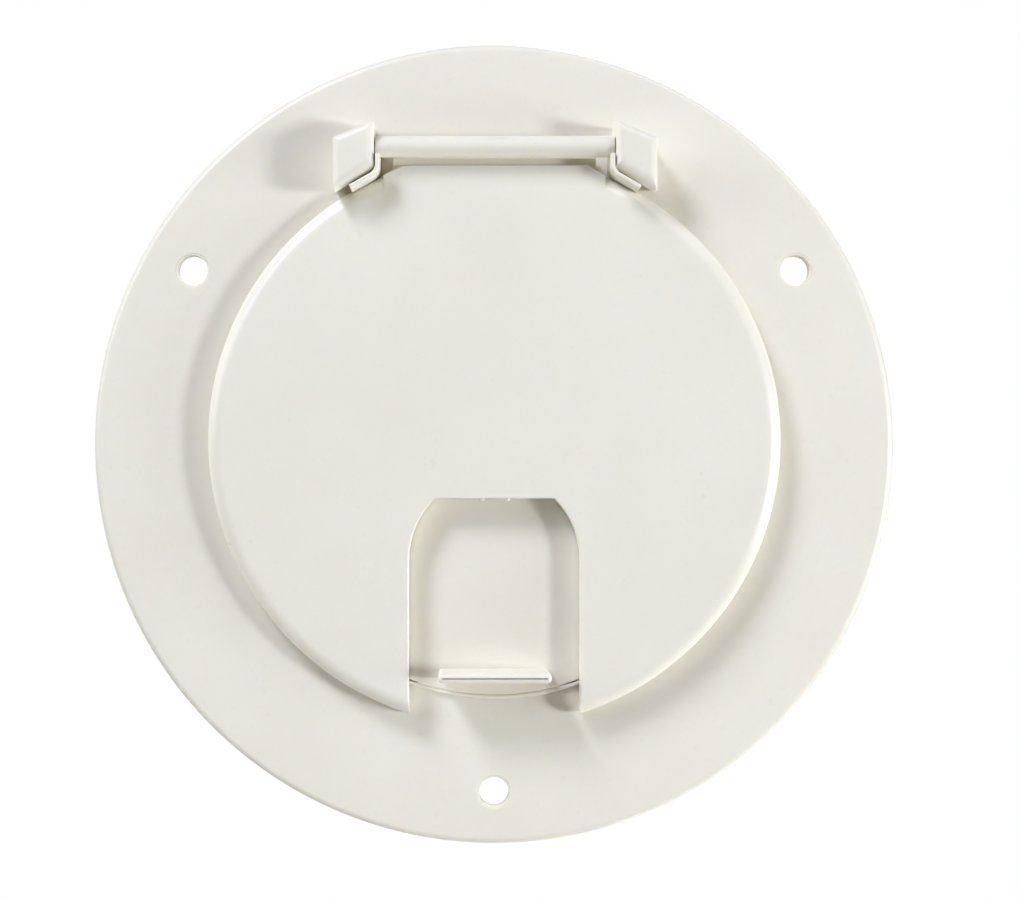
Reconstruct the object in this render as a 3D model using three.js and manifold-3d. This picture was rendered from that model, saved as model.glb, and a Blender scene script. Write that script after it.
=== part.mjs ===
// Round power-cord hatch for the outside wall of a caravan or motorhome.
//
// Modelled in millimetres in the hatch's own frame: X to the right, Y up the wall, Z out of the wall
// towards the user, with the origin at the centre of the flange's rear face. The last lines turn the
// whole hatch so that +Z is up and the front faces -Y.

import * as THREE from 'three';
import { mergeVertices } from 'three/addons/utils/BufferGeometryUtils.js';
import Module from 'manifold-3d';

const wasm = await Module();
wasm.setup();

// ---- Driving dimensions --------------------------------------------------------------------------

const GAP = 0.3; // running gap between neighbouring pieces

const flange = { radius: 66.7, thickness: 2.5, wall: 1.6, edgeRound: 1.2, skirtWidth: 2.5 };
const bore = { radius: 41.8, collarWall: 1.6, collarDepth: 20, seatWidth: 2.8 };
const bead = { height: 0.6, width: 0.5, slope: 0.7 };
const screwHole = { pitchRadius: 58, radius: 2.5, seatRadius: 2.9, seatDepth: 0.15, bossRadius: 5 };
const screwHoleAngles = [30, 150, 270];

const lid = { radius: 47.4, centreY: 0.65, height: 4.2, wall: 2, edgeRound: 2.6, flatTopY: 45.8 };
const lidCorner = { innerX: 15.3, outerX: 18.3, outerY: 44.2 };
const notch = { halfWidth: 14.1, archCentreY: -19.1, topY: -8.95, nubX: 2.1, nubWidth: 0.8, nubDrop: 0.35 };
const notchWall = 1.6;
const ledge = { halfWidth: 16.8, topY: 47.3, rear: 3.1, front: 4.9 };

const rod = { radius: 1.75, y: 48.7, height: 5, journalRadius: 1.25, journalEndX: 23.3 };
const ear = {
  x: 19.15, cornerY: 44.3, tipX: 23.6, tipY: 41.75, thickness: 0.7,
  height: 7.8, neckHeight: 6, shoulderY: 47.2,
};
const bracket = { innerX: 19.7, outerX: 26.4, height: 8, edgeRound: 1.3, lowerChamfer: 1.4, undercut: 1.4 };
const bracketY = { innerTop: 52.7, outerTop: 49.95, innerBottom: 44.85, outerBottom: 40.85 };
const socket = { radius: 1.55, mouth: 2, endX: 23.6 };

const door = { thickness: 1.3, halfWidth: 16.5, topY: -5.7, travel: 27.2, frontAboveFlange: 0.7 };
const lip = { width: 18.5, thickness: 1.6, y: -38.1, height: 7, edgeRound: 0.4 };

const retainer = { radius: 41.3, plate: 1.4, rimWall: 1.4, windowHalfWidth: 12.5, windowTopY: -11 };
const rail = { width: 1.4, bottomY: -36 };
const snapBump = { length: 7, proud: 0.25, height: 1.4 };

const post = { x: 28, y: 17, radius: 3, pilotRadius: 1.3, pilotDepth: 0.9 };
const screw = { headRadius: 2.6, headHeight: 1.5, shankRadius: 1, recessWidth: 0.6, recessLength: 2.8 };

// ---- Levels along Z, worked out from the dimensions ----------------------------------------------

const flangeFront = flange.thickness;
const flangePlateRear = flange.thickness - flange.wall;
const lidFront = flangeFront + lid.height;
const lidShellRear = lidFront - lid.wall;
const lidSkirtRear = flangeFront + GAP;
const rodZ = flangeFront + rod.height;
const doorFront = flangeFront + door.frontAboveFlange;
const doorRear = doorFront - door.thickness;
const retainerPlateFront = doorRear - GAP;
const retainerRear = retainerPlateFront - retainer.plate;
const retainerRimFront = lidShellRear - GAP;
const bracketTop = flangeFront + bracket.height;
const doorStopY = door.topY + door.travel + GAP;

const ROUND = 72; // facets round the large circles
const SMALL_ROUND = 24; // facets round pins, posts and holes
const ARC_STEPS = 5; // facets along a rounded edge
const PAST = 1; // how far a cutting tool reaches past the face it cuts
const SAME_POINT = 1e-4; // corners closer than this are one corner

// ---- Turning three.js geometry into solids and back ----------------------------------------------

function solid(geometry) {
  const bare = geometry.index ? geometry.toNonIndexed() : geometry.clone();
  bare.deleteAttribute('normal');
  bare.deleteAttribute('uv');
  const merged = mergeVertices(bare, SAME_POINT);
  const corners = merged.index.array;
  const kept = [];
  for (let i = 0; i < corners.length; i += 3) {
    const [a, b, c] = corners.slice(i, i + 3);
    if (a !== b && b !== c && c !== a) kept.push(a, b, c);
  }
  const mesh = new wasm.Mesh({
    numProp: 3,
    vertProperties: new Float32Array(merged.attributes.position.array),
    triVerts: new Uint32Array(kept),
  });
  return new wasm.Manifold(mesh);
}

function geometryOf(manifold) {
  const { vertProperties, triVerts } = manifold.getMesh();
  const geometry = new THREE.BufferGeometry();
  geometry.setAttribute('position', new THREE.BufferAttribute(vertProperties, 3));
  geometry.setIndex(new THREE.BufferAttribute(triVerts, 1));
  const faceted = geometry.toNonIndexed();
  faceted.computeVertexNormals();
  return faceted;
}

const joined = (solids) => solids.reduce((whole, piece) => whole.add(piece));

// ---- Basic shapes --------------------------------------------------------------------------------

// A plane outline given a thickness between two levels.
function slab(outline, zLow, zHigh) {
  const options = { depth: zHigh - zLow, bevelEnabled: false, curveSegments: SMALL_ROUND };
  return solid(new THREE.ExtrudeGeometry(outline, options).translate(0, 0, zLow));
}

// The same with all its edges chamfered, inside the given outline.
function softSlab(outline, zLow, zHigh, edge) {
  const options = {
    depth: zHigh - zLow - 2 * edge,
    bevelEnabled: true,
    bevelThickness: edge,
    bevelSize: edge,
    bevelOffset: -edge,
    bevelSegments: 2,
    curveSegments: SMALL_ROUND,
  };
  return solid(new THREE.ExtrudeGeometry(outline, options).translate(0, 0, zLow + edge));
}

// A closed profile of [radius, z] points turned about the Z axis.
function turned(profile, facets = ROUND) {
  const points = [...profile, profile[0]].map(([radius, z]) => new THREE.Vector2(radius, z));
  return solid(new THREE.LatheGeometry(points, facets).rotateX(Math.PI / 2));
}

function disc(radius, zLow, zHigh, facets = SMALL_ROUND) {
  return turned([[0, zLow], [radius, zLow], [radius, zHigh], [0, zHigh]], facets);
}

function block(xLow, xHigh, yLow, yHigh, zLow, zHigh) {
  const box = new THREE.BoxGeometry(xHigh - xLow, yHigh - yLow, zHigh - zLow);
  return solid(box.translate((xLow + xHigh) / 2, (yLow + yHigh) / 2, (zLow + zHigh) / 2));
}

// A bar along X between two places, at the hinge line.
function hingeBar(radius, xLow, xHigh) {
  const bar = new THREE.CylinderGeometry(radius, radius, xHigh - xLow, SMALL_ROUND);
  return solid(bar.rotateZ(Math.PI / 2).translate((xLow + xHigh) / 2, rod.y, rodZ));
}

function outlineOf(points) {
  return new THREE.Shape(points.map(([x, y]) => new THREE.Vector2(x, y)));
}

// Quarter-round profile points about a centre, from one angle to another in degrees.
function arcPoints(centreRadius, centreZ, size, fromDegrees, toDegrees) {
  return Array.from({ length: ARC_STEPS + 1 }, (_, step) => {
    const degrees = fromDegrees + ((toDegrees - fromDegrees) * step) / ARC_STEPS;
    const angle = THREE.MathUtils.degToRad(degrees);
    return [centreRadius + size * Math.cos(angle), centreZ + size * Math.sin(angle)];
  });
}

const mirrored = (manifold) => manifold.mirror([1, 0, 0]);
const onBothSides = (manifold) => manifold.add(mirrored(manifold));

// ---- Mounting flange: plate, wall collar, sealing bead and two hinge brackets --------------------

function flangeBody() {
  const collarOuter = bore.radius + bore.collarWall;
  const seatOuter = collarOuter + bore.seatWidth;
  const skirtInner = flange.radius - flange.skirtWidth;
  const lead = 0.6; // chamfer that leads the collar into the wall's cut-out
  const rearEdge = 0.3;
  const beadOuter = bore.radius + bead.width;
  return turned([
    [bore.radius, -bore.collarDepth],
    [collarOuter - lead, -bore.collarDepth],
    [collarOuter, lead - bore.collarDepth],
    [collarOuter, 0],
    [seatOuter, 0],
    [seatOuter, flangePlateRear],
    [skirtInner, flangePlateRear],
    [skirtInner, 0],
    [flange.radius - rearEdge, 0],
    [flange.radius, rearEdge],
    ...arcPoints(flange.radius - flange.edgeRound, flangeFront - flange.edgeRound, flange.edgeRound, 0, 90),
    [beadOuter + bead.slope, flangeFront],
    [beadOuter, flangeFront + bead.height],
    [bore.radius + rearEdge, flangeFront + bead.height],
    [bore.radius, flangeFront + bead.height - rearEdge],
  ]);
}

function atScrewHoles(make) {
  return joined(screwHoleAngles.map((degrees) => {
    const angle = THREE.MathUtils.degToRad(degrees);
    const place = [screwHole.pitchRadius * Math.cos(angle), screwHole.pitchRadius * Math.sin(angle), 0];
    return make().translate(place);
  }));
}

function screwHoleTool() {
  return turned([
    [0, -PAST],
    [screwHole.radius, -PAST],
    [screwHole.radius, flangeFront - screwHole.seatDepth],
    [screwHole.seatRadius, flangeFront - screwHole.seatDepth],
    [screwHole.seatRadius, flangeFront + PAST],
    [0, flangeFront + PAST],
  ], SMALL_ROUND);
}

// A cutting tool along the right-hand bracket's lower side, from a section of points measured into
// the bracket and out of the wall.
function alongLowerSide(section) {
  const start = new THREE.Vector3(bracket.innerX, bracketY.innerBottom, 0);
  const end = new THREE.Vector3(bracket.outerX, bracketY.outerBottom, 0);
  const run = end.clone().sub(start);
  const length = 3 * run.length();
  const along = run.clone().normalize();
  const out = new THREE.Vector3(0, 0, 1);
  const inward = out.clone().cross(along);
  const middle = start.clone().add(end).multiplyScalar(0.5);
  const origin = middle.addScaledVector(along, -length / 2);
  const tool = new THREE.ExtrudeGeometry(outlineOf(section), { depth: length, bevelEnabled: false });
  tool.applyMatrix4(new THREE.Matrix4().makeBasis(inward, out, along).setPosition(origin));
  return solid(tool);
}

// The right-hand bracket: a slanted block whose socket snaps over the end of the hinge rod.
function hingeBracket() {
  const outline = outlineOf([
    [bracket.innerX, bracketY.innerBottom],
    [bracket.outerX, bracketY.outerBottom],
    [bracket.outerX, bracketY.outerTop],
    [bracket.innerX, bracketY.innerTop],
  ]);
  const foot = flangePlateRear + GAP;
  const body = softSlab(outline, foot, bracketTop, bracket.edgeRound);

  // Along its lower side the front corner is cut back, for the lid's ear to swing past it, and the
  // wall leans in towards the flange.
  const frontCut = alongLowerSide([
    [-PAST, bracketTop - bracket.lowerChamfer - PAST],
    [bracket.lowerChamfer + PAST, bracketTop + PAST],
    [-PAST, bracketTop + PAST],
  ]);
  const overhangStart = bracketTop - 2 * bracket.lowerChamfer;
  const underCut = alongLowerSide([
    [-PAST, foot - PAST],
    [bracket.undercut, foot - PAST],
    [bracket.undercut, foot],
    [0, overhangStart],
    [-PAST, overhangStart],
  ]);

  const socketStart = bracket.innerX - PAST;
  const round = hingeBar(socket.radius, socketStart, socket.endX);
  const mouth = block(
    socketStart, socket.endX,
    bracketY.outerBottom - PAST, rod.y,
    rodZ - socket.mouth / 2, rodZ + socket.mouth / 2,
  );
  return body.subtract(frontCut).subtract(underCut).subtract(round).subtract(mouth);
}

function mountingFlange() {
  const bosses = atScrewHoles(() => disc(screwHole.bossRadius, 0, flangePlateRear + GAP));
  return flangeBody()
    .add(bosses)
    .subtract(atScrewHoles(screwHoleTool))
    .add(onBothSides(hingeBracket()));
}

// ---- Lid: dished cover with the cord notch, the hinge rod and its two ears -----------------------

// The notch is an arch with a flat top that runs out through the lid's lower edge.
function notchOutline(grow, bottomY) {
  const halfWidth = notch.halfWidth + grow;
  const topY = notch.topY + grow;
  const rise = topY - notch.archCentreY;
  const flatHalf = Math.sqrt(halfWidth ** 2 - rise ** 2);
  const startAngle = Math.atan2(rise, flatHalf);
  const outline = new THREE.Shape();
  outline.moveTo(-halfWidth, bottomY);
  outline.lineTo(halfWidth, bottomY);
  outline.lineTo(halfWidth, notch.archCentreY);
  outline.absarc(0, notch.archCentreY, halfWidth, 0, startAngle, false);
  outline.lineTo(-flatHalf, topY);
  outline.absarc(0, notch.archCentreY, halfWidth, Math.PI - startAngle, Math.PI, false);
  return outline;
}

function lidShell() {
  const inner = lid.radius - lid.wall;
  const roundCentre = lid.radius - lid.edgeRound;
  const dish = turned([
    [inner, lidSkirtRear],
    [lid.radius, lidSkirtRear],
    ...arcPoints(roundCentre, lidFront - lid.edgeRound, lid.edgeRound, 0, 90),
    [0, lidFront],
    [0, lidShellRear],
    [inner, lidShellRear],
  ]).translate([0, lid.centreY, 0]);

  // The hinge edge is a straight wall, with a short slanted shoulder at each end.
  const hingeWallInnerY = lid.flatTopY - lid.wall;
  const shoulder = slab(outlineOf([
    [-lidCorner.outerX, hingeWallInnerY],
    [lidCorner.outerX, hingeWallInnerY],
    [lidCorner.outerX, lidCorner.outerY],
    [lidCorner.innerX, lid.flatTopY],
    [-lidCorner.innerX, lid.flatTopY],
    [-lidCorner.outerX, lidCorner.outerY],
  ]), lidSkirtRear, lidFront - GAP);
  const aboveEdge = block(
    -lidCorner.outerX, lidCorner.outerX,
    lid.flatTopY, lid.radius + lid.centreY + PAST,
    lidSkirtRear - PAST, lidFront + PAST,
  );
  return dish.add(shoulder).subtract(aboveEdge);
}

// A low ledge along the foot of the hinge wall, under the rod.
function hingeLedge() {
  return block(
    -ledge.halfWidth, ledge.halfWidth,
    lid.flatTopY - lid.wall / 2, ledge.topY,
    ledge.rear, ledge.front,
  );
}

// The right-hand ear: an L-shaped wall, as one layer of it from the corner up to a level Y.
function earLayer(topY, height) {
  const half = ear.thickness / 2;
  const lean = Math.atan2(ear.cornerY - ear.tipY, ear.tipX - ear.x);
  const across = [half * Math.sin(lean), half * Math.cos(lean)];
  const shift = half * Math.tan((Math.PI / 2 - lean) / 2);
  return slab(outlineOf([
    [ear.x - half, topY],
    [ear.x - half, ear.cornerY - shift],
    [ear.tipX - across[0], ear.tipY - across[1]],
    [ear.tipX + across[0], ear.tipY + across[1]],
    [ear.x + half, ear.cornerY + shift],
    [ear.x + half, topY],
  ]), lidSkirtRear, flangeFront + height);
}

// The ear stands tall up to its shoulder, and its low neck carries the end of the hinge rod.
function hingeEar() {
  return earLayer(ear.shoulderY, ear.height).add(earLayer(rod.y, ear.neckHeight));
}

// A hollow post inside the lid that takes one of the retainer's screws.
function screwPost(x, y) {
  const rear = retainerPlateFront + GAP;
  return disc(post.radius, rear, lidShellRear + PAST).translate([x, y, 0]);
}

function pilotHole(x, y) {
  return disc(post.pilotRadius, retainerRear, lidShellRear + post.pilotDepth).translate([x, y, 0]);
}

const postPlaces = [[post.x, post.y], [-post.x, post.y], [-post.x, -post.y], [post.x, -post.y]];

function lidCover() {
  const doorSideRear = doorFront + GAP;
  const lidFoot = lid.centreY - lid.radius - PAST;

  // A wall follows the notch down to just above the cord door.
  const guard = slab(notchOutline(notchWall, lidFoot), doorSideRear, lidShellRear + PAST)
    .intersect(disc(lid.radius - PAST, doorSideRear, lidFront, ROUND).translate([0, lid.centreY, 0]));
  const guideRib = block(
    notch.halfWidth, notch.halfWidth + notchWall,
    notch.archCentreY, doorStopY - GAP,
    doorSideRear, lidShellRear + PAST,
  );
  const opening = slab(notchOutline(0, lidFoot), lidSkirtRear - PAST, lidFront + PAST);
  const nub = block(
    notch.nubX - notch.nubWidth / 2, notch.nubX + notch.nubWidth / 2,
    notch.topY - notch.nubDrop, notch.topY + PAST,
    lidShellRear, lidFront - GAP,
  );

  return lidShell()
    .add(guard)
    .add(onBothSides(guideRib))
    .subtract(opening)
    .add(onBothSides(nub))
    .add(joined(postPlaces.map(([x, y]) => screwPost(x, y))))
    .subtract(joined(postPlaces.map(([x, y]) => pilotHole(x, y))))
    .add(hingeLedge())
    .add(onBothSides(hingeEar()))
    .add(hingeBar(rod.radius, -ear.x - ear.thickness / 2, ear.x + ear.thickness / 2))
    .add(hingeBar(rod.journalRadius, -rod.journalEndX, rod.journalEndX));
}

// ---- Cord door: flat slide with a finger lip, rounded below to fit the bore ----------------------

function cordDoor() {
  const plate = block(
    -door.halfWidth, door.halfWidth,
    -bore.radius, door.topY,
    doorRear, doorFront,
  ).intersect(disc(bore.radius - GAP, doorRear, doorFront, ROUND));
  const lipOutline = outlineOf([
    [-lip.width / 2, lip.y - lip.thickness / 2],
    [lip.width / 2, lip.y - lip.thickness / 2],
    [lip.width / 2, lip.y + lip.thickness / 2],
    [-lip.width / 2, lip.y + lip.thickness / 2],
  ]);
  return plate.add(softSlab(lipOutline, doorFront - lip.edgeRound, doorFront + lip.height, lip.edgeRound));
}

// ---- Door retainer: tray inside the bore that holds the door against the lid ---------------------

function doorRetainer() {
  const inner = retainer.radius - retainer.rimWall;
  const tray = turned([
    [0, retainerRear],
    [retainer.radius, retainerRear],
    [retainer.radius, retainerRimFront],
    [inner, retainerRimFront],
    [inner, retainerPlateFront],
    [0, retainerPlateFront],
  ]);
  const railX = door.halfWidth + GAP;
  const sideRail = block(
    railX, railX + rail.width,
    rail.bottomY, doorStopY + rail.width,
    retainerPlateFront - retainer.plate / 2, retainerRimFront,
  );
  const topStop = block(
    -railX, railX,
    doorStopY, doorStopY + rail.width,
    retainerPlateFront - retainer.plate / 2, retainerRimFront,
  );
  const doorWay = block(
    -railX, railX,
    -retainer.radius - PAST, rail.bottomY,
    retainerPlateFront, retainerRimFront + PAST,
  );
  const window = block(
    -retainer.windowHalfWidth, retainer.windowHalfWidth,
    -retainer.radius - PAST, retainer.windowTopY,
    retainerRear - PAST, retainerRimFront + PAST,
  );
  const bumpMiddle = (retainerRear + retainerPlateFront) / 2;
  const bump = block(
    inner, retainer.radius + snapBump.proud,
    -snapBump.length / 2, snapBump.length / 2,
    bumpMiddle - snapBump.height / 2, bumpMiddle + snapBump.height / 2,
  );
  const holes = postPlaces.map(([x, y]) => {
    const hole = disc(post.pilotRadius + GAP, retainerRear - PAST, retainerPlateFront + PAST);
    return hole.translate([x, y, 0]);
  });
  return tray
    .add(onBothSides(sideRail))
    .add(topStop)
    .subtract(doorWay)
    .subtract(window)
    .add(onBothSides(bump))
    .subtract(joined(holes));
}

// ---- Retainer screws: small pan-head screws driven from behind -----------------------------------

function retainerScrew() {
  const seat = retainerRear - GAP / 2;
  const back = seat - screw.headHeight;
  const tip = lidShellRear + post.pilotDepth - GAP;
  const crown = 0.5; // height of the head's domed edge
  const point = 0.6;
  const body = turned([
    [0, back],
    [screw.headRadius - crown * 2, back],
    [screw.headRadius - crown / 2, back + crown / 2],
    [screw.headRadius, back + crown * 2],
    [screw.headRadius, seat],
    [screw.shankRadius, seat],
    [screw.shankRadius, tip - point],
    [screw.shankRadius / 2, tip],
    [0, tip],
  ], SMALL_ROUND);
  const recess = new THREE.BoxGeometry(screw.recessLength, screw.recessWidth, screw.headHeight)
    .translate(0, 0, back);
  const slot = solid(recess);
  return body.subtract(slot).subtract(slot.rotate([0, 0, 90]));
}

// ---- Assembly ------------------------------------------------------------------------------------

const plasticColour = 0xe9e6e0;

function mouldedPlastic(roughness) {
  return new THREE.MeshStandardMaterial({ color: plasticColour, roughness, metalness: 0 });
}

function zincPlate() {
  return new THREE.MeshStandardMaterial({ color: 0xb9bcc0, roughness: 0.35, metalness: 1 });
}

function piece(name, manifold, material) {
  const mesh = new THREE.Mesh(geometryOf(manifold), material);
  mesh.name = name;
  return mesh;
}

const hatch = new THREE.Group();
hatch.add(piece('mounting_flange', mountingFlange(), mouldedPlastic(0.38)));
hatch.add(piece('lid', lidCover(), mouldedPlastic(0.35)));
hatch.add(piece('cord_door', cordDoor(), mouldedPlastic(0.4)));
hatch.add(piece('door_retainer', doorRetainer(), mouldedPlastic(0.45)));

const screwSolid = retainerScrew();
postPlaces.forEach(([x, y], index) => {
  const mesh = piece(`retainer_screw_${index + 1}`, screwSolid, zincPlate());
  mesh.position.set(x, y, 0);
  hatch.add(mesh);
});

hatch.rotation.x = Math.PI / 2;

const model = new THREE.Group();
model.add(hatch);

export default model;
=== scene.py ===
"""Round power-cord hatch: fine meshes, materials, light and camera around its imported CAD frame.

Shapes are in millimetres in the hatch's own frame: x to the right, y up the wall and z out of the
wall, from the centre of the flange's rear face. in_row() turns them into metres in the row frame.
"""

import math
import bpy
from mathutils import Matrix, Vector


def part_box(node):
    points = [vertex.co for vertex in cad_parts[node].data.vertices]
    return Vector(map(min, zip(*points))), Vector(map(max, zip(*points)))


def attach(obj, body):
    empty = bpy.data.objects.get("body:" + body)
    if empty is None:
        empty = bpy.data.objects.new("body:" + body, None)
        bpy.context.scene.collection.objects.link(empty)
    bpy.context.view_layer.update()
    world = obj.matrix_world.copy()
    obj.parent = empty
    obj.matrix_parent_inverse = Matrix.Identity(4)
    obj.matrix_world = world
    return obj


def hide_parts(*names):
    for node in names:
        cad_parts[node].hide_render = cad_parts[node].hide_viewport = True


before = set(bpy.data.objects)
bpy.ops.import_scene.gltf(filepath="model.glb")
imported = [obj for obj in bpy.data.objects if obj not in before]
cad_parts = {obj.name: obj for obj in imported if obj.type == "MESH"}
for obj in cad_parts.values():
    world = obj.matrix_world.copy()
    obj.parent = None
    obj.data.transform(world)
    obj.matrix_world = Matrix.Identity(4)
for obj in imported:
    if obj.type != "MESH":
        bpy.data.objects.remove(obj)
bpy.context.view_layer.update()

from types import SimpleNamespace as Sizes

import bmesh
import bpy
from mathutils import Matrix, Vector

# ---- Sizes, in millimetres -------------------------------------------------------------------------

MM = 0.001


def hatch_box(node):
    """Lowest and highest corner of a CAD node, in the hatch's own frame."""
    low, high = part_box(node)
    return Vector((low.x, low.z, -high.y)) / MM, Vector((high.x, high.z, -low.y)) / MM


FLANGE_LOW, FLANGE_HIGH = hatch_box("mounting_flange")
LID_HIGH = hatch_box("lid")[1]
DOOR_HIGH = hatch_box("cord_door")[1]
RETAINER_LOW, RETAINER_HIGH = hatch_box("door_retainer")

GAP = 0.3  # clearance between neighbouring pieces
BITE = 0.3  # how far a shape reaches into one that it is joined to
PAST = 1.0  # how far a cutting tool reaches past the face it cuts
SAME_POINT = 1e-6  # metres; corners closer than this are one corner
ROUND = 240  # facets round the large circles
SMALL_ROUND = 48  # facets round pins, posts and holes
ARC_STEPS = 8  # facets along a rounded edge
SHARP = math.radians(32)  # faces that meet at more than this keep a crisp edge
LEAST_ROUND = 0.25  # share of its radius that a corner keeps when its sides move in

flange = Sizes(
    radius=FLANGE_HIGH.x, front=2.5, plate_rear=0.9, edge_round=1.2, skirt_width=2.5,
    small_round=0.25,
)
bore = Sizes(radius=41.8, collar_wall=1.6, depth=-FLANGE_LOW.z, seat_width=2.8, lead=0.7)
bead = Sizes(height=0.6, width=0.45, slope=0.15, edge_round=0.1)
screw_hole = Sizes(
    pitch_radius=58, radius=2.5, seat_radius=2.8, seat_depth=0.1, boss_radius=5, edge_round=0.08,
    angles=(30, 150, 270),
)

lid = Sizes(
    radius=LID_HIGH.x, centre_y=0.65, front=6.7, wall=2, edge_round=2.6, skirt_rear=2.8,
    flat_top_y=45.8, top_round=0.25, inner_round=0.8, lip_round=0.25, hinge_wall_inset=0.3,
)
land = Sizes(low_y=38, outer_x=18.3, outer_y=44.2, inner_x=15.3, edge_round=0.3)
ledge = Sizes(half_width=16.8, top_y=47.3, rear=3.1, front=4.9, edge_round=0.2)
lid.shell_rear = lid.front - lid.wall
notch = Sizes(
    half_width=14.1, arch_y=-19.1, top_y=-8.95, edge_round=0.3, wall=1.6, guard_inset=1,
    nub_x=2.1, nub_radius=0.45,
)
notch.foot_y = lid.centre_y - lid.radius - PAST

rod = Sizes(radius=1.75, z=7.5, journal_radius=1.25, journal_end_x=23.3, end_round=0.3)
rod.y = LID_HIGH.y - rod.radius
gate_mark = Sizes(x=0.8, length=1.8, width=0.45, depth=0.1, lean=math.radians(36))
ear = Sizes(
    x=19.15, corner_y=44.3, tip_x=23.6, tip_y=41.75, thickness=0.7, top=10.3,
    neck_top=8.5, shoulder_y=47.2,
    corner_round=2.0, edge_round=0.3,
)
bracket = Sizes(
    inner_x=19.7, outer_x=26.4, top=FLANGE_HIGH.z,
    inner_top=52.7, outer_top=49.95, inner_bottom=44.85, outer_bottom=40.85,
    edge_round=1.3, lower_round=2.0, corner_round=0.3, undercut=1.4,
)
socket = Sizes(radius=1.55, mouth=2, end_x=23.6)

door = Sizes(
    half_width=DOOR_HIGH.x, top_y=DOOR_HIGH.y, front=3.2, thickness=1.3, bottom_radius=41.5,
    corner_round=1.0, edge_round=0.15,
)
door.rear = door.front - door.thickness
door_lip = Sizes(width=18.5, thickness=1.6, y=-38.1, top=DOOR_HIGH.z, edge_round=0.7, corner_round=0.75)

retainer = Sizes(
    radius=41.3, plate=1.4, rim_wall=1.4, rear=RETAINER_LOW.z, rim_front=RETAINER_HIGH.z,
    window_half_width=12.5, window_top_y=-11, window_round=1, edge_round=0.2,
)
retainer.plate_front = retainer.rear + retainer.plate
rail = Sizes(width=1.4, bottom_y=-36, stop_y=21.8)
snap_bump = Sizes(length=7, proud=0.25, height=1.4)
post = Sizes(x=28, y=17, radius=3, end_round=0.2, pilot_radius=1.3, pilot_depth=0.9)
screw = Sizes(
    head_radius=2.6, head_round=0.9, seat=0.05, seat_round=0.15, back=-1.45, tip=5.3,
    core_radius=0.92, thread_radius=1.22, pitch=0.9, crest_share=0.5, rows_per_turn=10,
    point=1.2, tip_share=0.25,
    recess_length=2.9, recess_width=0.62, recess_depth=0.9, recess_end_taper=0.55, recess_side_taper=0.7,
)
ejector_mark = Sizes(
    radius=2.6, depth=0.12, ring_width=0.18, count_on_flange=12,
    places_on_retainer=((0, 30), (0, 8), (30, 0), (-30, 0), (20, -28), (-20, -28)),
)

# The lens stands to the left of the hatch's middle, and its shift frames the hatch again.
view = Sizes(place=(-7.0, -0.97, 287.5), lens=60.35, sensor_width=36, shift=0.0568)

# ---- Making meshes ---------------------------------------------------------------------------------


def in_row(x, y, z):
    return Vector((x, -z, y)) * MM


def new_shape(name, corners, faces):
    """A closed mesh object from corners in the hatch's frame, with its normals pointing out."""
    mesh = bpy.data.meshes.new(name)
    mesh.from_pydata([in_row(*corner) for corner in corners], [], faces)
    work = bmesh.new()
    work.from_mesh(mesh)
    bmesh.ops.remove_doubles(work, verts=work.verts, dist=SAME_POINT)
    bmesh.ops.recalc_face_normals(work, faces=work.faces)
    work.to_mesh(mesh)
    work.free()
    shape = bpy.data.objects.new(name, mesh)
    bpy.context.scene.collection.objects.link(shape)
    return shape


def bridge(first, second, count):
    """Quads between two rings of corners, which start at the given corner numbers."""
    return [
        (first + i, first + (i + 1) % count, second + (i + 1) % count, second + i)
        for i in range(count)
    ]


def lofted(name, rings):
    """A closed solid through rings of (x, y, z) corners, all of one length, with flat ends."""
    count = len(rings[0])
    faces = [tuple(range(count)), tuple(range((len(rings) - 1) * count, len(rings) * count))]
    for level in range(len(rings) - 1):
        faces += bridge(level * count, (level + 1) * count, count)
    return new_shape(name, [corner for ring in rings for corner in ring], faces)


def circle(first, second, radius, facets=SMALL_ROUND):
    """Points round a circle about a centre, in whichever two directions the centre is given."""
    angles = [math.tau * i / facets for i in range(facets)]
    return [(first + radius * math.cos(angle), second + radius * math.sin(angle)) for angle in angles]


def turned(name, profile, centre=(0, 0), facets=ROUND):
    """A profile of (radius, z) points turned about a line along z. It closes on the axis or on itself."""
    corners = [(x, y, z) for radius, z in profile for x, y in circle(*centre, radius, facets)]
    faces = []
    for level in range(len(profile) - 1):
        faces += bridge(level * facets, (level + 1) * facets, facets)
    if profile[0][0] > 0:
        faces += bridge((len(profile) - 1) * facets, 0, facets)
    return new_shape(name, corners, faces)


def rounded(corners, steps=ARC_STEPS):
    """The closed line through corners (x, y, radius), each turned into an arc of its radius."""
    points = []
    for i, (x, y, radius) in enumerate(corners):
        here = Vector((x, y))
        if radius == 0:
            points.append(here)
            continue
        back = (Vector(corners[i - 1][:2]) - here).normalized()
        ahead = (Vector(corners[(i + 1) % len(corners)][:2]) - here).normalized()
        half = back.angle(ahead) / 2
        centre = here + (back + ahead).normalized() * radius / math.sin(half)
        start = here + back * radius / math.tan(half) - centre
        end = here + ahead * radius / math.tan(half) - centre
        start_angle = math.atan2(start.y, start.x)
        turn = (math.atan2(end.y, end.x) - start_angle + math.pi) % math.tau - math.pi
        for step in range(steps + 1):
            angle = start_angle + turn * step / steps
            points.append(centre + Vector((math.cos(angle), math.sin(angle))) * radius)
    return points


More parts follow.
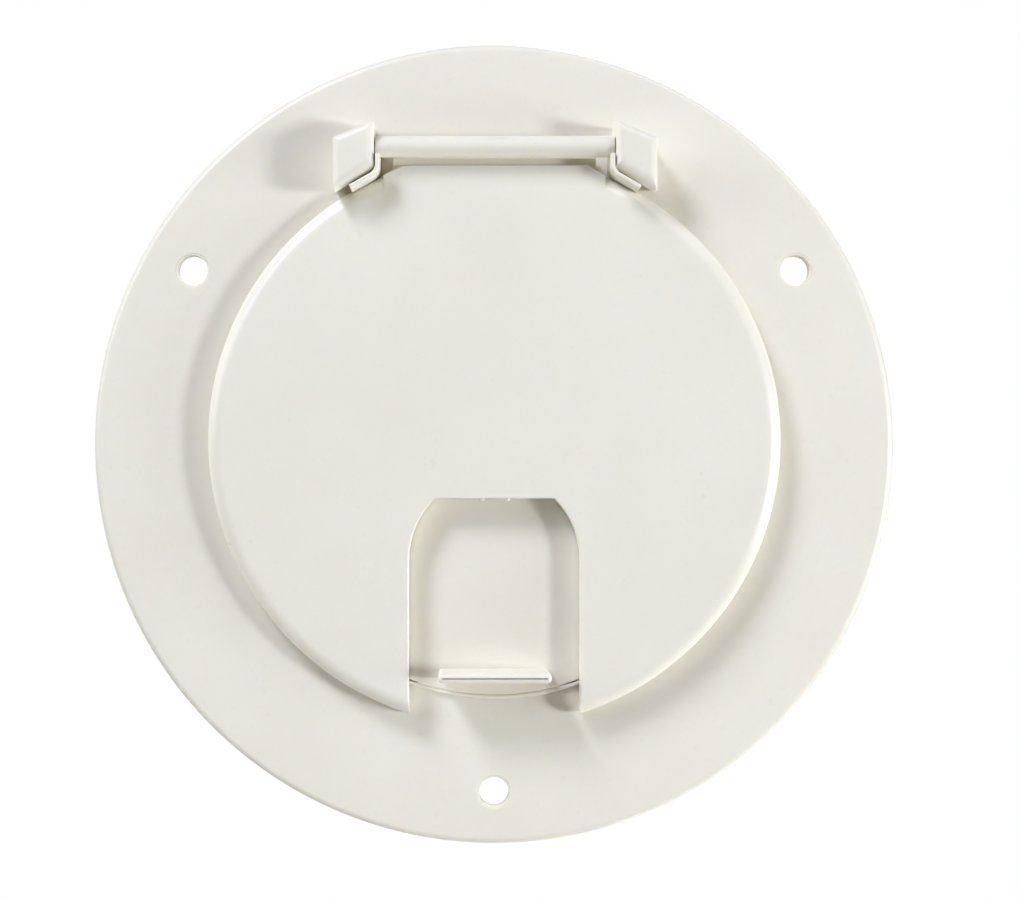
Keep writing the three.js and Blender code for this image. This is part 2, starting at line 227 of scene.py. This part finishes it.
def moved_in(corners, insets):
    """Convex counter-clockwise corners (x, y, radius) with each side moved in by its own distance."""
    sides = []
    for i, (x, y, _) in enumerate(corners):
        along = (Vector(corners[(i + 1) % len(corners)][:2]) - Vector((x, y))).normalized()
        inward = Vector((-along.y, along.x))
        sides.append((Vector((x, y)) + inward * insets[i], along))
    moved = []
    for i, (_, _, radius) in enumerate(corners):
        (start, along), (other, other_along) = sides[i - 1], sides[i]
        reach = (other - start).cross(other_along) / along.cross(other_along)
        meet = start + along * reach
        inset = (insets[i - 1] + insets[i]) / 2
        moved.append((meet.x, meet.y, max(radius - inset, radius * LEAST_ROUND)))
    return moved


def round_over(size, above_start):
    """How far an edge rounded to this size has drawn in, at a height above where its arc starts."""
    rise = min(max(above_start, 0), size)
    return size - math.sqrt(size * size - rise * rise)


def inset_at(z, low, high, low_round, high_round):
    """How far a block with rounded lower and upper edges has drawn in at a height."""
    return round_over(high_round, z - (high - high_round)) + round_over(low_round, low + low_round - z)


def edge_heights(low, high, low_round, high_round):
    """Heights for a block's rings: close together along the rounded edges."""
    quarter = [math.pi / 2 * step / ARC_STEPS for step in range(ARC_STEPS + 1)]
    heights = [low + low_round * (1 - math.cos(angle)) for angle in quarter] if low_round else [low]
    heights += [high - high_round * (1 - math.sin(angle)) for angle in quarter] if high_round else [high]
    return heights


def block(name, corners, low, high, low_round=0, high_round=0):
    """A convex outline of corners (x, y, radius) given a height, with rounded edges below and above."""
    rings = []
    for z in edge_heights(low, high, low_round, high_round):
        inset = inset_at(z, low, high, low_round, high_round)
        outline = rounded(moved_in(corners, [inset] * len(corners)))
        rings.append([(x, y, z) for x, y in outline])
    return lofted(name, rings)


def box_corners(x_low, x_high, y_low, y_high, radius=0):
    return [
        (x_low, y_low, radius), (x_high, y_low, radius),
        (x_high, y_high, radius), (x_low, y_high, radius),
    ]


def disc(name, x, y, radius, low, high, low_round=0, high_round=0):
    profile = [(0, low)]
    for z in edge_heights(low, high, low_round, high_round):
        inset = inset_at(z, low, high, low_round, high_round)
        profile.append((radius - inset, z))
    profile.append((0, high))
    return turned(name, profile, (x, y), SMALL_ROUND)


def along_x(name, x_low, x_high, outline):
    """A solid along x with an outline of (y, z) points."""
    return lofted(name, [[(x, y, z) for y, z in outline] for x in (x_low, x_high)])


def mirrored(shape):
    """The same shape on the other side of the hatch's middle."""
    twin = shape.copy()
    twin.data = shape.data.copy()
    twin.data.transform(Matrix.Scale(-1, 4, (1, 0, 0)))
    twin.data.flip_normals()
    bpy.context.scene.collection.objects.link(twin)
    return twin


def both_sides(shape):
    return [shape, mirrored(shape)]


def combined(shape, others, operation):
    for other in others:
        step = shape.modifiers.new(operation.lower(), "BOOLEAN")
        step.operation = operation
        step.solver = "MANIFOLD"
        step.object = other
    bpy.context.view_layer.update()
    graph = bpy.context.evaluated_depsgraph_get()
    result = bpy.data.meshes.new_from_object(shape.evaluated_get(graph))
    shape.modifiers.clear()
    shape.data = result
    for other in others:
        bpy.data.objects.remove(other)
    return shape


def joined(shape, *others):
    return combined(shape, others, "UNION")


def cut(shape, *others):
    return combined(shape, others, "DIFFERENCE")


# ---- Materials -------------------------------------------------------------------------------------

PLASTIC = (0.835, 0.80, 0.69)
PALE_PLASTIC = (0.855, 0.825, 0.72)
SPECK = (0.79, 0.75, 0.63)
ZINC = (0.66, 0.68, 0.70)
PALE_ZINC = (0.79, 0.79, 0.78)
FLOOR_GREY = (0.85, 0.85, 0.85)


def new_material(name):
    """A material with a plain shader in it, and what is needed to add to it."""
    material = bpy.data.materials.new(name)
    material.use_nodes = True
    nodes, links = material.node_tree.nodes, material.node_tree.links
    nodes.clear()
    shader = nodes.new("ShaderNodeBsdfPrincipled")
    output = nodes.new("ShaderNodeOutputMaterial")
    links.new(shader.outputs["BSDF"], output.inputs["Surface"])
    return material, nodes, links, shader


def noise(nodes, links, coordinates, scale, detail=3.0, rough=0.5):
    texture = nodes.new("ShaderNodeTexNoise")
    texture.inputs["Scale"].default_value = scale
    texture.inputs["Detail"].default_value = detail
    texture.inputs["Roughness"].default_value = rough
    links.new(coordinates.outputs["Object"], texture.inputs["Vector"])
    return texture.outputs["Fac"]


def ranged(nodes, links, value, low, high, from_low=0.3, from_high=0.7):
    step = nodes.new("ShaderNodeMapRange")
    step.inputs["From Min"].default_value = from_low
    step.inputs["From Max"].default_value = from_high
    step.inputs["To Min"].default_value = low
    step.inputs["To Max"].default_value = high
    links.new(value, step.inputs["Value"])
    return step.outputs["Result"]


def mixed(nodes, links, amount, first, second):
    """A colour between two others. Each is a colour or another node's output."""
    mix = nodes.new("ShaderNodeMix")
    mix.data_type = "RGBA"
    links.new(amount, mix.inputs["Factor"])
    for name, colour in (("A", first), ("B", second)):
        end = next(i for i in mix.inputs if i.name == name and i.type == "RGBA")
        if isinstance(colour, bpy.types.NodeSocket):
            links.new(colour, end)
        else:
            end.default_value = (*colour, 1)
    return next(o for o in mix.outputs if o.type == "RGBA")


def roughened(nodes, links, shader, height, strength, depth):
    """Gives a shader a bumpy surface, to a depth in millimetres."""
    bump = nodes.new("ShaderNodeBump")
    bump.inputs["Strength"].default_value = strength
    bump.inputs["Distance"].default_value = depth * MM
    links.new(height, bump.inputs["Height"])
    links.new(bump.outputs["Normal"], shader.inputs["Normal"])


def moulded_plastic(name, roughness, scale_shift):
    """Warm off-white styrene: faint flow clouds, fine specks, smears of gloss and a fine mould grain.

    The scale shift makes the pattern differ from one moulding to the next.
    """
    material, nodes, links, shader = new_material(name)
    coordinates = nodes.new("ShaderNodeTexCoord")

    clouds = noise(nodes, links, coordinates, 38 + scale_shift, detail=4)
    cloudy = ranged(nodes, links, clouds, 0, 1)
    flow = mixed(nodes, links, cloudy, PLASTIC, PALE_PLASTIC)
    specks = noise(nodes, links, coordinates, 900 + scale_shift, detail=2)
    specked = ranged(nodes, links, specks, 0, 0.5, 0.62, 0.8)
    links.new(mixed(nodes, links, specked, flow, SPECK), shader.inputs["Base Color"])

    smears = noise(nodes, links, coordinates, 160 + scale_shift, detail=5, rough=0.6)
    gloss = ranged(nodes, links, smears, roughness - 0.06, roughness + 0.06)
    links.new(gloss, shader.inputs["Roughness"])
    grain = noise(nodes, links, coordinates, 2600, detail=2)
    roughened(nodes, links, shader, grain, strength=0.12, depth=0.08)

    shader.inputs["IOR"].default_value = 1.5
    shader.inputs["Subsurface Weight"].default_value = 0.25
    shader.inputs["Subsurface Radius"].default_value = (1.0, 0.75, 0.4)
    shader.inputs["Subsurface Scale"].default_value = 1.2 * MM
    return material


def zinc_plate(name):
    """Bright zinc on steel: cold blue-grey clouds, a brushed grain and some duller patches."""
    material, nodes, links, shader = new_material(name)
    coordinates = nodes.new("ShaderNodeTexCoord")
    shader.inputs["Metallic"].default_value = 1.0

    clouds = noise(nodes, links, coordinates, 500, detail=4)
    cloudy = ranged(nodes, links, clouds, 0, 1)
    links.new(mixed(nodes, links, cloudy, ZINC, PALE_ZINC), shader.inputs["Base Color"])
    patches = noise(nodes, links, coordinates, 1400, detail=3)
    links.new(ranged(nodes, links, patches, 0.22, 0.42), shader.inputs["Roughness"])
    grain = noise(nodes, links, coordinates, 6000, detail=2)
    roughened(nodes, links, shader, grain, strength=0.25, depth=0.03)
    return material


def finished(shape, name, node, body, material):
    """Shades a shape, stands it in for its CAD node and lets it ride on its body."""
    work = bmesh.new()
    work.from_mesh(shape.data)
    bmesh.ops.dissolve_degenerate(work, edges=work.edges, dist=SAME_POINT)
    work.to_mesh(shape.data)
    work.free()
    shape.name = name
    shape.data.materials.clear()
    shape.data.materials.append(material)
    for face in shape.data.polygons:
        face.use_smooth = True
        face.material_index = 0
    shape.data.set_sharp_from_angle(angle=SHARP)
    even = shape.modifiers.new("even_shading", "WEIGHTED_NORMAL")
    even.keep_sharp = True
    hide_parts(node)
    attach(shape, body)


# ---- Mounting flange -------------------------------------------------------------------------------


def flange_shell():
    collar_outer = bore.radius + bore.collar_wall
    seat_outer = collar_outer + bore.seat_width
    skirt_inner = flange.radius - flange.skirt_width
    bead_outer = bore.radius + bead.width
    small = flange.small_round
    profile = rounded([
        (bore.radius, -bore.depth, small),
        (collar_outer, -bore.depth, bore.lead),
        (collar_outer, 0, small),
        (seat_outer, 0, small),
        (seat_outer, flange.plate_rear, small),
        (skirt_inner, flange.plate_rear, small),
        (skirt_inner, 0, small),
        (flange.radius, 0, small),
        (flange.radius, flange.front, flange.edge_round),
        (bead_outer + bead.slope, flange.front, bead.edge_round),
        (bead_outer, flange.front + bead.height, bead.edge_round),
        (bore.radius, flange.front + bead.height, bead.edge_round),
    ])
    return turned("flange", profile)


def screw_hole_places():
    for degrees in screw_hole.angles:
        angle = math.radians(degrees)
        yield screw_hole.pitch_radius * math.cos(angle), screw_hole.pitch_radius * math.sin(angle)


def screw_hole_tool(x, y):
    """A through hole with a shallow washer seat in front and a softened rim at both ends."""
    edge = screw_hole.edge_round
    seat = flange.front - screw_hole.seat_depth
    profile = [
        (0, -PAST),
        (screw_hole.radius + edge, -PAST),
        (screw_hole.radius + edge, 0),
        (screw_hole.radius, edge),
        (screw_hole.radius, seat - edge),
        (screw_hole.radius + edge, seat),
        (screw_hole.seat_radius, seat),
        (screw_hole.seat_radius + edge, flange.front),
        (screw_hole.seat_radius + edge, flange.front + PAST),
        (0, flange.front + PAST),
    ]
    return turned("screw_hole", profile, (x, y), SMALL_ROUND)


def hinge_bracket():
    """The right-hand bracket: a slanted block, rolled over in front, with the rod's snap socket."""
    corners = [
        (bracket.inner_x, bracket.inner_bottom, bracket.corner_round),
        (bracket.outer_x, bracket.outer_bottom, bracket.corner_round),
        (bracket.outer_x, bracket.outer_top, bracket.corner_round),
        (bracket.inner_x, bracket.inner_top, bracket.corner_round),
    ]
    side_rounds = (bracket.lower_round, bracket.edge_round, bracket.edge_round, bracket.edge_round)
    foot = flange.plate_rear + BITE
    heights = edge_heights(foot, bracket.top, 0, bracket.lower_round)
    rings = []
    for z in heights:
        insets = [round_over(size, z - (bracket.top - size)) for size in side_rounds]
        # The lower side leans in towards the flange.
        insets[0] += bracket.undercut * max(0, heights[1] - z) / (heights[1] - foot)
        rings.append([(x, y, z) for x, y in rounded(moved_in(corners, insets))])
    body = lofted("bracket", rings)

    socket_start = bracket.inner_x - PAST
    round_hole = along_x("socket", socket_start, socket.end_x, circle(rod.y, rod.z, socket.radius))
    mouth = block(
        "mouth",
        box_corners(socket_start, socket.end_x, bracket.outer_bottom - PAST, rod.y),
        rod.z - socket.mouth / 2, rod.z + socket.mouth / 2,
    )
    return cut(body, round_hole, mouth)


def ejector_ring(x, y, surface):
    """A cutter for the shallow ring that a mould's ejector pin leaves in a rear face."""
    inner = ejector_mark.radius - ejector_mark.ring_width
    bottom = surface + ejector_mark.depth
    profile = [
        (inner, bottom), (ejector_mark.radius, bottom),
        (ejector_mark.radius, surface - PAST), (inner, surface - PAST),
    ]
    return turned("ejector_ring", profile, (x, y), SMALL_ROUND)


def mounting_flange():
    bosses = [
        disc("boss", x, y, screw_hole.boss_radius, 0, flange.plate_rear + BITE, flange.small_round)
        for x, y in screw_hole_places()
    ]
    shape = joined(flange_shell(), *bosses, *both_sides(hinge_bracket()))
    holes = [screw_hole_tool(x, y) for x, y in screw_hole_places()]
    hollow_start = bore.radius + bore.collar_wall + bore.seat_width
    hollow_end = flange.radius - flange.skirt_width
    mark_radius = (hollow_start + hollow_end) / 2
    marks = []
    for place in range(ejector_mark.count_on_flange):
        angle = math.tau * (place + 0.5) / ejector_mark.count_on_flange
        x, y = mark_radius * math.cos(angle), mark_radius * math.sin(angle)
        marks.append(ejector_ring(x, y, flange.plate_rear))
    return cut(shape, *holes, *marks)


# ---- Lid -------------------------------------------------------------------------------------------


def notch_outline(grow):
    """The cord notch: an arch with a flat top, open past the lid's rim, made wider all round by grow."""
    half_width = notch.half_width + grow
    rise = notch.top_y + grow - notch.arch_y
    start = math.asin(rise / half_width)
    arc = [start * step / ARC_STEPS for step in range(ARC_STEPS + 1)]
    right = [(half_width * math.cos(angle), notch.arch_y + half_width * math.sin(angle)) for angle in arc]
    right = [(half_width, notch.foot_y), *right]
    return right + [(-x, y) for x, y in reversed(right)]


def notch_tool():
    """Cuts the notch through the lid and rounds its front edge over."""
    start = lid.front - notch.edge_round
    rings = []
    for z in [lid.skirt_rear - PAST, *edge_heights(start, lid.front, 0, notch.edge_round)]:
        grow = round_over(notch.edge_round, z - start)
        rings.append([(x, y, z) for x, y in notch_outline(grow)])
    rings.append([(x, y, lid.front + PAST) for x, y in notch_outline(notch.edge_round)])
    return lofted("notch", rings)


def trimmed_to_lid(shape, low, inset):
    """The part of a shape that lies inside the lid's rim, moved in by an inset."""
    radius = lid.radius - inset
    profile = [(0, low - PAST), (radius, low - PAST), (radius, lid.front), (0, lid.front)]
    return combined(shape, [turned("rim", profile, (0, lid.centre_y))], "INTERSECT")


def notch_guard():
    """The wall round the notch, down to just above the cord door and trimmed to the lid's rim."""
    low = door.front + GAP
    outline = notch_outline(notch.wall)
    wall = lofted("guard", [[(x, y, z) for x, y in outline] for z in (low, lid.shell_rear + BITE)])
    return trimmed_to_lid(wall, low, notch.guard_inset)


def lid_dish():
    inner = lid.radius - lid.wall
    profile = rounded([
        (0, lid.shell_rear, 0),
        (inner, lid.shell_rear, lid.inner_round),
        (inner, lid.skirt_rear, lid.lip_round),
        (lid.radius, lid.skirt_rear, lid.lip_round),
        (lid.radius, lid.front, lid.edge_round),
        (0, lid.front, 0),
    ], steps=2 * ARC_STEPS)
    return turned("dish", profile, (0, lid.centre_y))


def above_edge_tool():
    """Cuts the lid off straight at the hinge, leaving its front corner rounded."""
    start = lid.front - lid.top_round
    outline = [(lid.flat_top_y, lid.skirt_rear - PAST)]
    for z in edge_heights(start, lid.front, 0, lid.top_round):
        outline.append((lid.flat_top_y - round_over(lid.top_round, z - start), z))
    outline += [
        (lid.flat_top_y - lid.top_round, lid.front + PAST),
        (lid.radius + lid.centre_y + PAST, lid.front + PAST),
        (lid.radius + lid.centre_y + PAST, lid.skirt_rear - PAST),
    ]
    return along_x("above_edge", -ear.x, ear.x, outline)


def hinge_land():
    """The flat front face carried out to the lid's straight hinge edge."""
    corners = [
        (-land.outer_x, land.low_y, 0),
        (land.outer_x, land.low_y, 0),
        (land.outer_x, land.outer_y, 0),
        (land.inner_x, lid.flat_top_y, 0),
        (-land.inner_x, lid.flat_top_y, 0),
        (-land.outer_x, land.outer_y, 0),
    ]
    return block("land", corners, lid.shell_rear + BITE, lid.front, 0, land.edge_round)


def hinge_ledge():
    """The low ledge along the foot of the hinge wall, under the rod."""
    corners = box_corners(-ledge.half_width, ledge.half_width, lid.flat_top_y - lid.wall / 2, ledge.top_y)
    return block("ledge", corners, ledge.rear, ledge.front, 0, ledge.edge_round)


def hinge_wall():
    """The straight wall under the lid's hinge edge."""
    half = ear.x - ear.thickness
    corners = box_corners(-half, half, lid.flat_top_y - lid.wall, lid.flat_top_y)
    wall = block("hinge_wall", corners, lid.skirt_rear, lid.front - lid.top_round)
    return trimmed_to_lid(wall, lid.skirt_rear, lid.hinge_wall_inset)


def ear_layer(top_y, top):
    """One layer of the right-hand ear, a thin bent wall that stands up from the rim."""
    half = ear.thickness / 2
    start = Vector((ear.x, top_y))
    corner = Vector((ear.x, ear.corner_y))
    tip = Vector((ear.tip_x, ear.tip_y))
    run = tip - corner
    lean = run.normalized()
    # The bend's middle line is rounded, and its two ends stay straight.
    bend = rounded([(*start, 0), (*corner, ear.corner_round), (*tip, 0)])
    rings = []
    for z in edge_heights(lid.skirt_rear, top, 0, ear.edge_round):
        inset = round_over(ear.edge_round, z - (top - ear.edge_round))
        line = [point.copy() for point in bend]
        line[-1] = tip - lean * inset
        left, right = [], []
        for i, point in enumerate(line):
            along = (line[min(i + 1, len(line) - 1)] - line[max(i - 1, 0)]).normalized()
            across = Vector((-along.y, along.x)) * (half - inset)
            left.append(point + across)
            right.append(point - across)
        rings.append([(x, y, z) for x, y in left + right[::-1]])
    return lofted("ear", rings)


def hinge_ear():
    """The ear stands tall up to its shoulder, and its low neck carries the end of the rod."""
    return joined(ear_layer(ear.shoulder_y, ear.top), ear_layer(rod.y, ear.neck_top))


def gate_mark_tool():
    """Cuts the small flat that the mould's gate leaves on the rod."""
    outward = Vector((math.sin(gate_mark.lean), math.cos(gate_mark.lean)))
    sideways = Vector((math.cos(gate_mark.lean), -math.sin(gate_mark.lean)))
    middle = Vector((rod.y, rod.z)) + outward * (rod.radius + PAST - gate_mark.depth)
    half_width = gate_mark.width / 2
    corners = ((-half_width, -PAST), (half_width, -PAST), (half_width, PAST), (-half_width, PAST))
    outline = [middle + sideways * across + outward * out for across, out in corners]
    half_length = gate_mark.length / 2
    return along_x("gate_mark", gate_mark.x - half_length, gate_mark.x + half_length, outline)


def hinge_rod():
    """The rod between the ears and the two thinner pins that snap into the brackets."""
    end = ear.x + ear.thickness / 2
    body = along_x("rod", -end, end, circle(rod.y, rod.z, rod.radius))
    steps = [
        (-rod.journal_end_x, rod.journal_radius - rod.end_round),
        (-rod.journal_end_x + rod.end_round, rod.journal_radius),
        (rod.journal_end_x - rod.end_round, rod.journal_radius),
        (rod.journal_end_x, rod.journal_radius - rod.end_round),
    ]
    pins = lofted("pins", [[(x, y, z) for y, z in circle(rod.y, rod.z, radius)] for x, radius in steps])
    return cut(joined(body, pins), gate_mark_tool())


def post_places():
    return [(post.x, post.y), (-post.x, post.y), (-post.x, -post.y), (post.x, -post.y)]


def lid_cover():
    low = door.front + GAP
    guide_ribs = both_sides(block(
        "guide_rib",
        box_corners(notch.half_width, notch.half_width + notch.wall, notch.arch_y, rail.stop_y - GAP),
        low, lid.shell_rear + BITE,
    ))
    posts = [
        disc("post", x, y, post.radius, retainer.plate_front + GAP, lid.shell_rear + BITE, post.end_round)
        for x, y in post_places()
    ]
    pilots = [
        disc("pilot", x, y, post.pilot_radius, retainer.rear, lid.shell_rear + post.pilot_depth)
        for x, y in post_places()
    ]
    nubs = both_sides(disc(
        "nub", notch.nub_x, notch.top_y, notch.nub_radius,
        lid.shell_rear, lid.front - notch.edge_round, 0, notch.edge_round,
    ))
    dish = cut(lid_dish(), above_edge_tool())
    shape = joined(dish, hinge_land(), hinge_wall(), hinge_ledge(), notch_guard(), *guide_ribs)
    shape = joined(cut(shape, notch_tool()), *nubs, *posts)
    shape = cut(shape, *pilots)
    return joined(shape, *both_sides(hinge_ear()), hinge_rod())


# ---- Cord door -------------------------------------------------------------------------------------


def cord_door():
    radius = door.bottom_radius
    rings = []
    for z in edge_heights(door.rear, door.front, door.edge_round, door.edge_round):
        inset = inset_at(z, door.rear, door.front, door.edge_round, door.edge_round)
        half = door.half_width - inset
        side_angle = math.acos(half / (radius - inset))
        sweep = math.pi - 2 * side_angle
        bottom = [side_angle + sweep * step / SMALL_ROUND for step in range(SMALL_ROUND + 1)]
        outline = [
            ((radius - inset) * math.cos(angle), -(radius - inset) * math.sin(angle)) for angle in bottom
        ]
        top = rounded([
            (*outline[-1], 0),
            (-half, door.top_y - inset, door.corner_round),
            (half, door.top_y - inset, door.corner_round),
            (*outline[0], 0),
        ])[1:-1]
        rings.append([(x, y, z) for x, y in [*outline, *top]])
    plate = lofted("plate", rings)
    half_width, half_lip = door_lip.width / 2, door_lip.thickness / 2
    lip_corners = box_corners(
        -half_width, half_width, door_lip.y - half_lip, door_lip.y + half_lip, door_lip.corner_round
    )
    finger_lip = block("finger_lip", lip_corners, door.front - BITE, door_lip.top, 0, door_lip.edge_round)
    return joined(plate, finger_lip)


# ---- Door retainer ---------------------------------------------------------------------------------


def door_retainer():
    inner = retainer.radius - retainer.rim_wall
    small = retainer.edge_round
    middle = retainer.plate_front - retainer.plate / 2
    profile = rounded([
        (0, retainer.rear, 0),
        (retainer.radius, retainer.rear, small),
        (retainer.radius, retainer.rim_front, small),
        (inner, retainer.rim_front, small),
        (inner, retainer.plate_front, small),
        (0, retainer.plate_front, 0),
    ])
    tray = turned("tray", profile)
    rail_x = door.half_width + GAP
    side_rails = both_sides(block(
        "rail", box_corners(rail_x, rail_x + rail.width, rail.bottom_y, rail.stop_y + rail.width, small),
        middle, retainer.rim_front, 0, small,
    ))
    top_stop = block(
        "stop", box_corners(-rail_x - small, rail_x + small, rail.stop_y, rail.stop_y + rail.width),
        middle, retainer.rim_front, 0, small,
    )
    door_way = block(
        "door_way", box_corners(-rail_x, rail_x, -retainer.radius - PAST, rail.bottom_y),
        retainer.plate_front, retainer.rim_front + PAST,
    )
    window_corners = box_corners(
        -retainer.window_half_width, retainer.window_half_width,
        -retainer.radius - 2 * PAST, retainer.window_top_y, retainer.window_round,
    )
    window = block("window", window_corners, retainer.rear - PAST, retainer.rim_front + PAST)
    half_bump = snap_bump.length / 2
    bump_corners = box_corners(inner, retainer.radius + snap_bump.proud, -half_bump, half_bump, small)
    bump_low, bump_high = middle - snap_bump.height / 2, middle + snap_bump.height / 2
    bumps = both_sides(block("bump", bump_corners, bump_low, bump_high, small, small))
    holes = [
        disc("hole", x, y, post.pilot_radius + GAP, retainer.rear - PAST, retainer.plate_front + PAST)
        for x, y in post_places()
    ]
    marks = [ejector_ring(x, y, retainer.rear) for x, y in ejector_mark.places_on_retainer]
    shape = cut(joined(tray, *side_rails, top_stop), door_way, window)
    return cut(joined(shape, *bumps), *holes, *marks)


# ---- Retainer screws -------------------------------------------------------------------------------


def thread(x, y):
    """The screw's shank: a rolled thread that tapers to a blunt point."""
    start = screw.seat - BITE
    length = screw.tip - start
    rows = round(length / screw.pitch * screw.rows_per_turn)
    rings = []
    for row in range(rows + 1):
        z = start + length * row / rows
        taper = min(1, (screw.tip - z) / screw.point + screw.tip_share)
        ring = []
        for i in range(SMALL_ROUND):
            turn = i / SMALL_ROUND
            phase = (z / screw.pitch - turn) % 1
            crest = max(0, 1 - abs(phase - 0.5) / (screw.crest_share / 2))
            radius = (screw.core_radius + (screw.thread_radius - screw.core_radius) * crest) * taper
            angle = math.tau * turn
            ring.append((x + radius * math.cos(angle), y + radius * math.sin(angle), z))
        rings.append(ring)
    return lofted("thread", rings)


def recess_slot(x, y, across, along):
    """One slot of the cross recess, which narrows towards its bottom."""
    mouth = box_corners(-across, across, -along, along)
    end_taper, side_taper = screw.recess_end_taper, screw.recess_side_taper
    return lofted("recess", [
        [(x + dx, y + dy, screw.back - PAST) for dx, dy, _ in mouth],
        [(x + dx, y + dy, screw.back) for dx, dy, _ in mouth],
        [(x + dx * end_taper, y + dy * side_taper, screw.back + screw.recess_depth) for dx, dy, _ in mouth],
    ])


def retainer_screw(x, y):
    """A pan-head screw with a rolled thread and a cross recess."""
    head = rounded([
        (0, screw.back, 0),
        (screw.head_radius, screw.back, screw.head_round),
        (screw.head_radius, screw.seat, screw.seat_round),
        (0, screw.seat, 0),
    ])
    body = turned("screw_head", head, (x, y), SMALL_ROUND)
    wide, narrow = screw.recess_length / 2, screw.recess_width / 2
    slots = [recess_slot(x, y, *size) for size in ((wide, narrow), (narrow, wide))]
    return cut(joined(body, thread(x, y)), *slots)


# ---- Stage, light and camera -----------------------------------------------------------------------


def pale_floor():
    """A plain round floor well below the hatch."""
    radius, level, thickness = 700, -500, 10
    outline = circle(0, 0, radius, ROUND)
    floor = new_shape(
        "floor",
        [(x, level - drop, y) for drop in (0, thickness) for x, y in outline],
        [tuple(range(ROUND)), tuple(range(ROUND, 2 * ROUND)), *bridge(0, ROUND, ROUND)],
    )
    material, _, _, shader = new_material("pale_floor")
    shader.inputs["Base Color"].default_value = (*FLOOR_GREY, 1)
    shader.inputs["Roughness"].default_value = 0.7
    floor.data.materials.append(material)


def studio_light(name, azimuth, elevation, size, power, colour=(1, 1, 1), distance=1.1):
    """A round soft lamp that faces the hatch, with its size and distance in metres.

    Azimuth turns from the hatch's right towards its top, and elevation is above the hatch's face.
    """
    data = bpy.data.lights.new(name, "AREA")
    data.shape = "DISK"
    data.size = size
    data.energy = power
    data.color = colour
    lamp = bpy.data.objects.new(name, data)
    bpy.context.scene.collection.objects.link(lamp)
    around, above = math.radians(azimuth), math.radians(elevation)
    flat = math.cos(above)
    towards = in_row(math.cos(around) * flat, math.sin(around) * flat, math.sin(above)).normalized()
    lamp.location = towards * distance
    lamp.rotation_mode = "QUATERNION"
    lamp.rotation_quaternion = towards.to_track_quat("Z", "Y")
    lamp.visible_camera = False


def studio_lights():
    studio_light("key_light", 123, 26, size=0.33, power=10.0, colour=(0.84, 0.865, 1.0))
    studio_light("left_light", 150, 32, size=0.3, power=2.3, colour=(0.55, 0.75, 1.0))
    studio_light("low_left_light", 165, 14, size=0.5, power=3.0, colour=(1.0, 0.97, 0.78))
    studio_light("top_light", 60, 30, size=0.4, power=0.9, colour=(0.7, 0.8, 1.0))
    studio_light("right_light", -5, 34, size=0.2, power=6.2, colour=(0.90, 0.94, 1.0))
    studio_light("low_right_light", -8, 12, size=0.5, power=6.2, colour=(0.90, 0.955, 1.0))
    studio_light("rear_light", 60, -50, size=0.6, power=11.0, distance=1.2)


def background(nodes, colour, strength):
    node = nodes.new("ShaderNodeBackground")
    node.inputs["Color"].default_value = (*colour, 1)
    node.inputs["Strength"].default_value = strength
    return node.outputs["Background"]


def bright_world():
    """A world that lights the hatch dimly and warmly, and is white to look at."""
    world = bpy.data.worlds.new("studio")
    world.use_nodes = True
    nodes, links = world.node_tree.nodes, world.node_tree.links
    nodes.clear()
    path = nodes.new("ShaderNodeLightPath")
    mix = nodes.new("ShaderNodeMixShader")
    output = nodes.new("ShaderNodeOutputWorld")
    links.new(path.outputs["Is Camera Ray"], mix.inputs["Fac"])
    links.new(background(nodes, (1, 0.6, 0.3), strength=0.06), mix.inputs[1])
    links.new(background(nodes, (1, 1, 1), strength=1), mix.inputs[2])
    links.new(mix.outputs["Shader"], output.inputs["Surface"])
    bpy.context.scene.world = world


def photo_camera():
    data = bpy.data.cameras.new("camera")
    data.sensor_width = view.sensor_width
    data.lens = view.lens
    data.shift_x = view.shift
    data.clip_start = 0.01
    data.clip_end = 10
    camera = bpy.data.objects.new("camera", data)
    bpy.context.scene.collection.objects.link(camera)
    camera.location = in_row(*view.place)
    camera.rotation_euler = (math.pi / 2, 0, 0)
    bpy.context.scene.camera = camera


# ---- The scene -------------------------------------------------------------------------------------

photo_camera()
pale_floor()
studio_lights()
bright_world()
bpy.context.scene.view_settings.view_transform = "Standard"

finished(mounting_flange(), "flange_moulding", "mounting_flange", "base",
         moulded_plastic("flange_plastic", roughness=0.36, scale_shift=0))
finished(lid_cover(), "lid_moulding", "lid", "lid",
         moulded_plastic("lid_plastic", roughness=0.33, scale_shift=3))
finished(cord_door(), "door_moulding", "cord_door", "door",
         moulded_plastic("door_plastic", roughness=0.38, scale_shift=7))
finished(door_retainer(), "retainer_moulding", "door_retainer", "lid",
         moulded_plastic("retainer_plastic", roughness=0.45, scale_shift=11))
zinc = zinc_plate("zinc_plate")
for number, place in enumerate(post_places(), 1):
    finished(retainer_screw(*place), f"pan_head_screw_{number}", f"retainer_screw_{number}", "lid",
             zinc)
